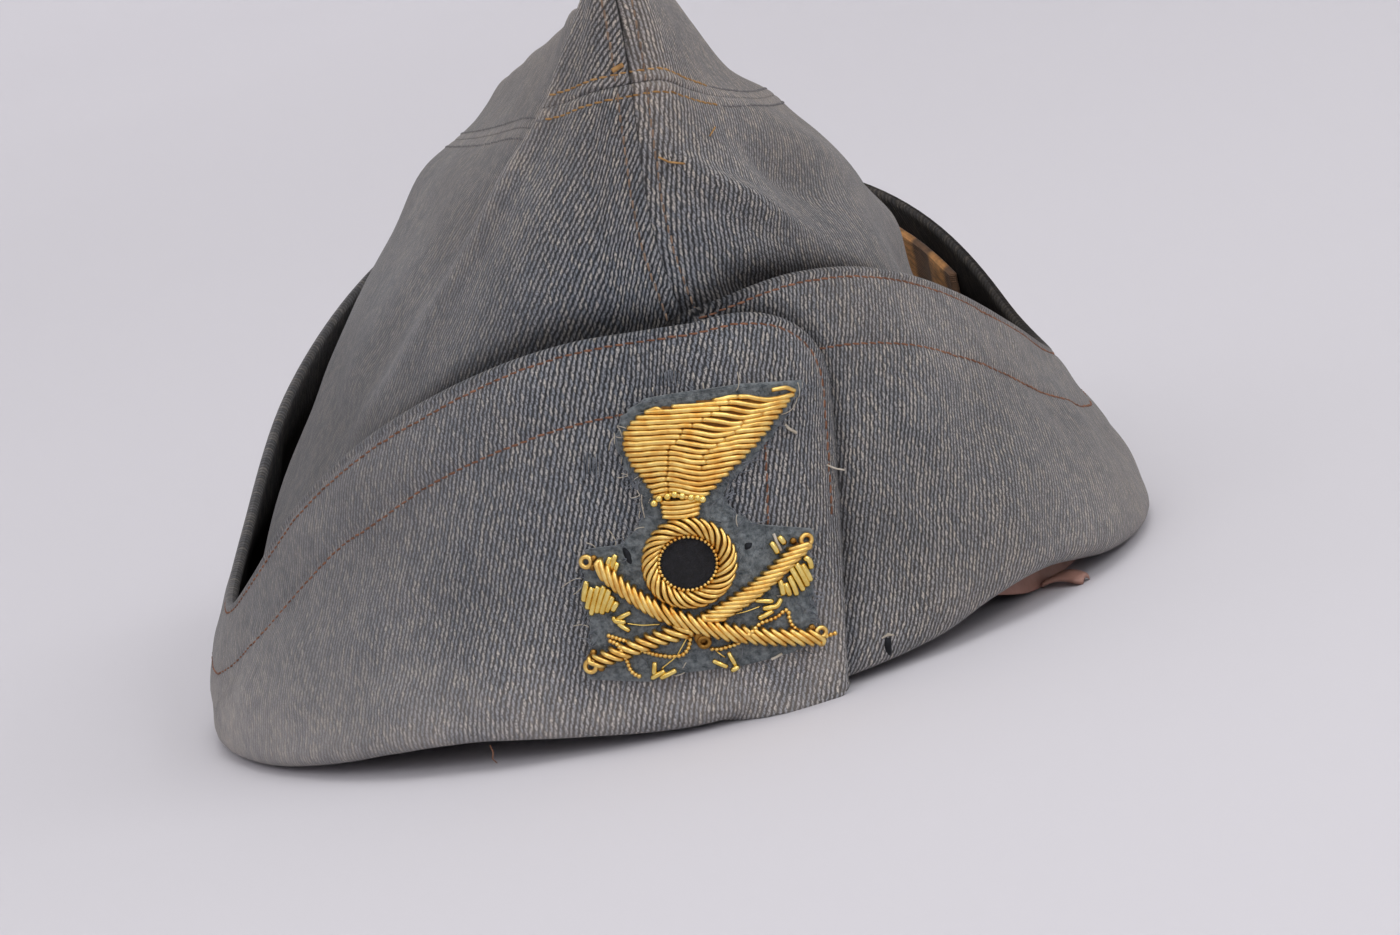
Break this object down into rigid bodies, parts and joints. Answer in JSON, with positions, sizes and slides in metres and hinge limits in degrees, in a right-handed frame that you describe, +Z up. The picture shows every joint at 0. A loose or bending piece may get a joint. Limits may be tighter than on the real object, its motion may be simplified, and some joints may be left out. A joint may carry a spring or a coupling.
{
  "type": "side cap",
  "caption": "Folding side cap of grey twill with a creased crown, turned-up flaps that overlap at the front, a leather sweatband and an embroidered bullion badge.",
  "frame": {"origin": "centre of the bounding box on the surface that the rim rests on", "axes": "+X to the wearer's left, +Y to the back of the cap, +Z up"},
  "size_m": [0.2006, 0.229, 0.1401],
  "materials": {
    "grey_twill": "matt",
    "brown_leather": "worn",
    "tan_cloth": "matt",
    "grey_felt": "matt",
    "black_felt": "matt",
    "gold_bullion": "satin"
  },
  "bodies": {
    "root": {"crown_side_right": "grey_twill", "crown_side_left": "grey_twill", "crown_top_right": "grey_twill", "crown_top_left": "grey_twill", "flap_right": "grey_twill", "flap_left": "grey_twill", "sweatband": "brown_leather", "sweatband_tab": "brown_leather", "side_patch": "tan_cloth", "badge_backing": "grey_felt", "badge_flame": "gold_bullion", "badge_collar": "gold_bullion", "badge_ring": "gold_bullion", "badge_disc": "black_felt", "badge_barrel_over": "gold_bullion", "badge_barrel_under_low": "gold_bullion", "badge_barrel_under_high": "gold_bullion", "badge_boss": "gold_bullion", "badge_fan_left": "gold_bullion", "badge_fan_right": "gold_bullion"}
  },
  "joints": []
}
